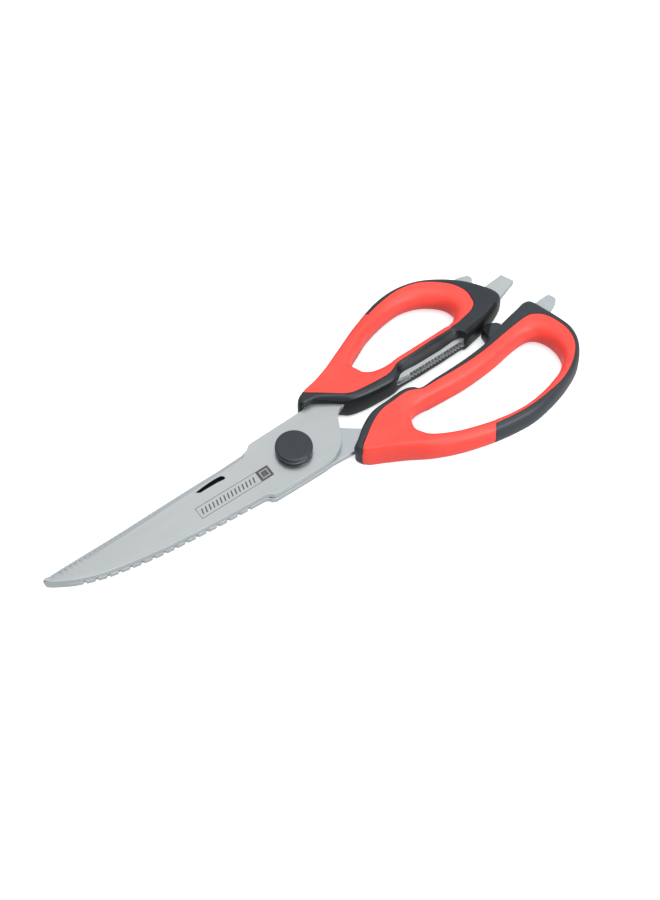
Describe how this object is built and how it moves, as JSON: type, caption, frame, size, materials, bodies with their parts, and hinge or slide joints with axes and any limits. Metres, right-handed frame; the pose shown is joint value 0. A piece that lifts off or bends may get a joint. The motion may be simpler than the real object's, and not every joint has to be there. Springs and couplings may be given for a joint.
{
  "type": "poultry shears",
  "caption": "Pivoted steel kitchen shears for poultry, with toothed cutting edges, a peeler slot, a toothed jaw between soft-grip handles and tool tips at the handle ends.",
  "frame": {"origin": "on the pivot axis, at the flat outer face of the back cap, which is the plane the shears rest on", "axes": "+X from the pivot towards the blade tips, +Z along the pivot axis from the back cap to the front knob, so the thumb handle is on -Y and the finger handle on +Y"},
  "size_m": [0.2275, 0.076, 0.012],
  "materials": {
    "blade_steel": "satin ground stainless steel",
    "bolt_steel": "turned stainless steel",
    "black_plastic": "fine-textured black plastic",
    "red_overmould": "soft-touch red over-mould"
  },
  "bodies": {
    "rear_half": {"rear_blade": "blade_steel", "finger_core": "black_plastic", "finger_grip": "red_overmould", "pivot_bolt": "bolt_steel", "pivot_nut": "bolt_steel", "front_washer": "bolt_steel", "rear_washer": "bolt_steel", "spring_washer": "bolt_steel", "pivot_knob": "black_plastic", "back_cap": "black_plastic"},
    "front_half": {"front_blade": "blade_steel", "thumb_core": "black_plastic", "thumb_grip": "red_overmould", "lifter_tip": "blade_steel"}
  },
  "joints": [
    {"name": "blade_pivot", "type": "hinge", "parent": "rear_half", "child": "front_half", "pos_m": [0, 0, 0.006], "axis": [0, 0, 1], "range_deg": [0, 65]}
  ]
}
